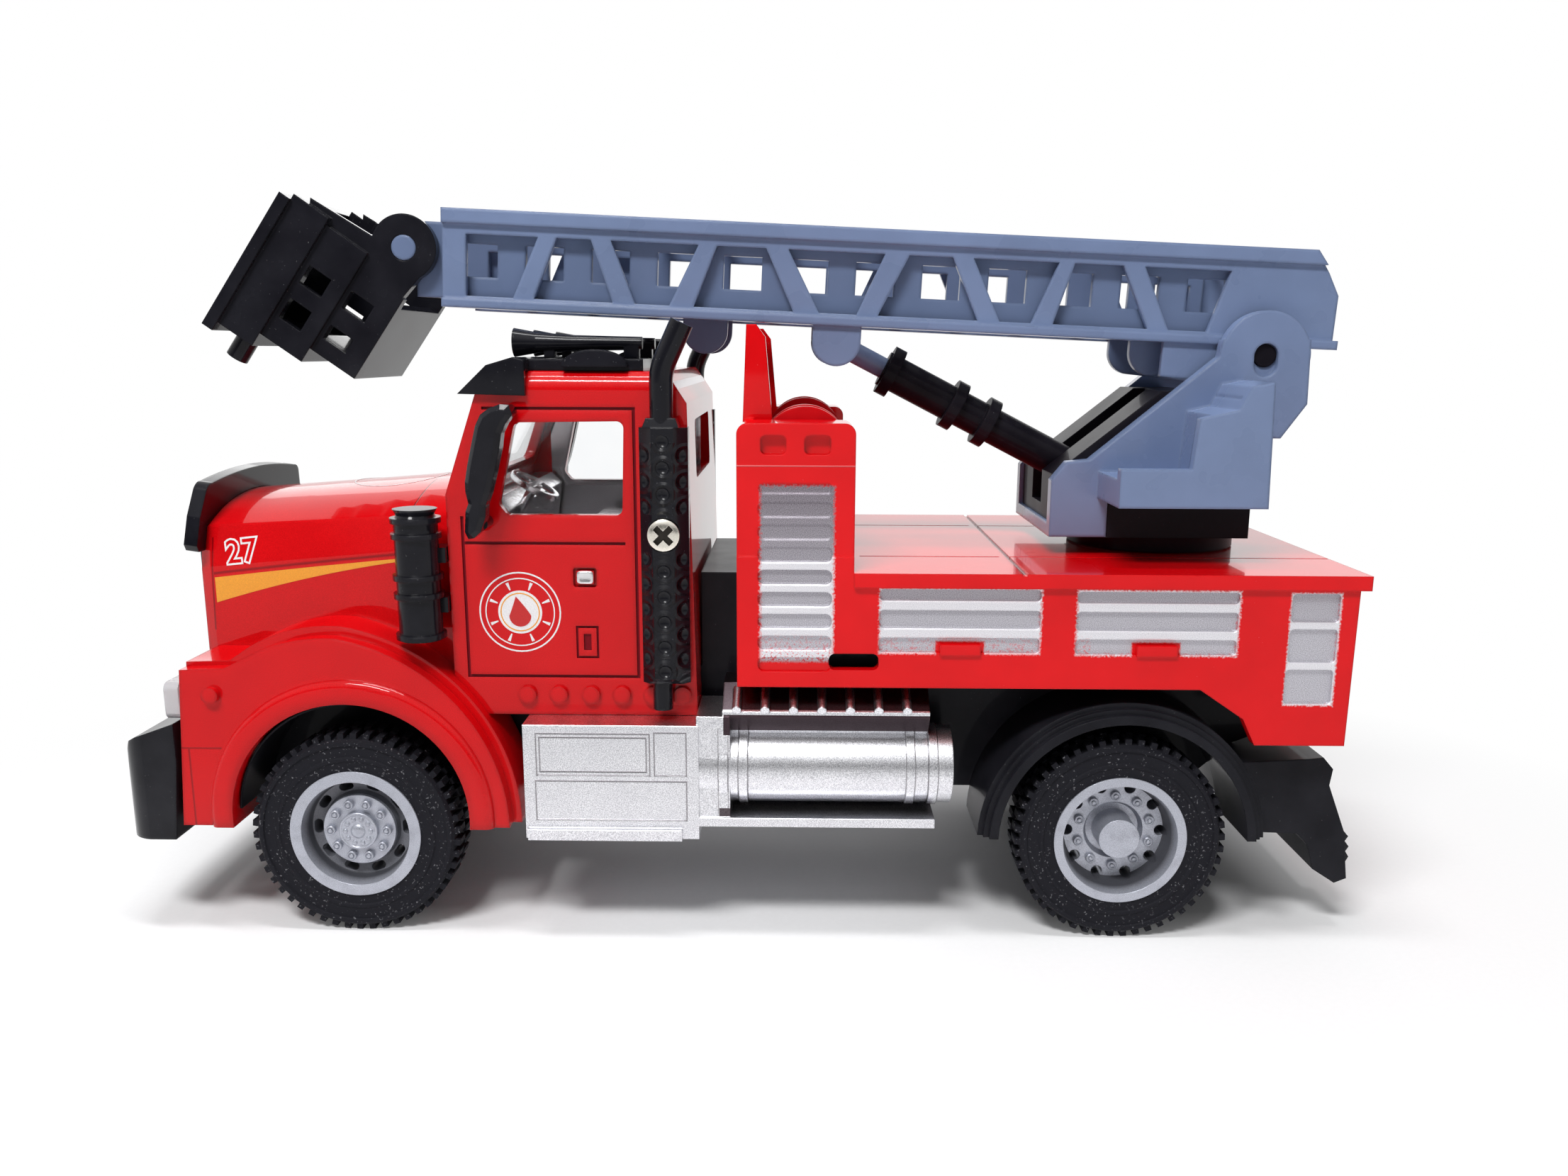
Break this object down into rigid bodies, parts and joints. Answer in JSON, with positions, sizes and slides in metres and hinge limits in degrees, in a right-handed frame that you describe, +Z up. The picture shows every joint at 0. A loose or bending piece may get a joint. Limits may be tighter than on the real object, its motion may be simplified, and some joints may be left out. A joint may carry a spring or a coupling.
{
  "type": "toy fire engine",
  "caption": "Toy ladder fire engine with a hooded cab, a turntable, a sliding ladder and a tilting rescue basket.",
  "frame": {"origin": "on the ground, under the middle of the box that bounds the toy at rest", "axes": "+X forward, +Y to the left-hand side, +Z up"},
  "size_m": [0.1671, 0.0558, 0.0982],
  "materials": {
    "cab_paint": "gloss paint on die-cast metal",
    "body_plastic": "moulded red plastic",
    "chassis_plastic": "moulded black plastic",
    "bright_plastic": "vacuum-plated bright plastic",
    "silver_plastic": "moulded silver plastic",
    "ladder_plastic": "moulded grey-blue plastic",
    "dark_plastic": "moulded black plastic",
    "tyre": "moulded tyre",
    "clear": "clear plastic",
    "steel": "plain steel rod",
    "lamp": "clear plastic lens"
  },
  "bodies": {
    "vehicle": {"cab_shell": "cab_paint", "cab_glazing": "clear", "cab_interior": "bright_plastic", "chassis": "chassis_plastic", "rear_body": "body_plastic", "grille": "dark_plastic", "headlamps": "lamp", "front_bumper": "chassis_plastic", "hood_deflector": "dark_plastic", "roof_set": "dark_plastic", "air_horns": "dark_plastic", "exhaust_left": "dark_plastic", "exhaust_right": "dark_plastic", "air_cleaner_left": "dark_plastic", "air_cleaner_right": "dark_plastic", "mirror_left": "dark_plastic", "mirror_right": "dark_plastic", "tank_left": "bright_plastic", "tank_right": "bright_plastic", "hose_reel": "body_plastic", "tail_lamps": "dark_plastic"},
    "front_wheels": {"front_axle": "steel", "front_rim_left": "silver_plastic", "front_rim_right": "silver_plastic", "front_tyre_left": "tyre", "front_tyre_right": "tyre"},
    "rear_wheels": {"rear_axle": "steel", "rear_rim_left": "silver_plastic", "rear_rim_right": "silver_plastic", "rear_tyre_left": "tyre", "rear_tyre_right": "tyre"},
    "turret": {"turret_core": "dark_plastic", "turret_frame": "ladder_plastic"},
    "ladder": {"outer_ladder": "ladder_plastic", "ladder_pin": "dark_plastic"},
    "fly": {"inner_ladder": "ladder_plastic", "slide_tabs": "ladder_plastic"},
    "basket": {"basket": "dark_plastic"},
    "barrel": {"cylinder_barrel": "dark_plastic"},
    "rod": {"cylinder_rod": "ladder_plastic"}
  },
  "joints": [
    {"name": "front_wheels_turn", "type": "hinge", "parent": "vehicle", "child": "front_wheels", "pos_m": [0.05175, 0, 0.014], "axis": [0, 1, 0], "continuous": true},
    {"name": "rear_wheels_turn", "type": "hinge", "parent": "vehicle", "child": "rear_wheels", "pos_m": [-0.05055, 0, 0.014], "axis": [0, 1, 0], "continuous": true},
    {"name": "turret_yaw", "type": "hinge", "parent": "vehicle", "child": "turret", "pos_m": [-0.05925, 0, 0.0503], "axis": [0, 0, 1], "continuous": true},
    {"name": "boom_lift", "type": "hinge", "parent": "turret", "child": "ladder", "pos_m": [-0.06975, 0, 0.0774], "axis": [0, -1, 0], "range_deg": [0, 50]},
    {"name": "cylinder_swing", "type": "hinge", "parent": "turret", "child": "barrel", "pos_m": [-0.05035, 0, 0.0596], "axis": [0, -1, 0], "range_deg": [0, 48.43]},
    {"name": "rod_slide", "type": "slide", "parent": "barrel", "child": "rod", "axis": [0.8896, 0, 0.4567], "range_m": [0, 0.02225]},
    {"name": "ladder_slide", "type": "slide", "parent": "ladder", "child": "fly", "axis": [0.999, 0, 0.0445], "range_m": [0, 0.037]},
    {"name": "basket_tilt", "type": "hinge", "parent": "fly", "child": "basket", "pos_m": [0.04595, 0, 0.09126], "axis": [0, 1, 0], "range_deg": [-20, 40]}
  ],
  "couplings": [
    {"joint": "cylinder_swing", "follows": "boom_lift", "ratio": 0.96765},
    {"joint": "rod_slide", "follows": "boom_lift", "m_per_rad": 0.025444}
  ]
}
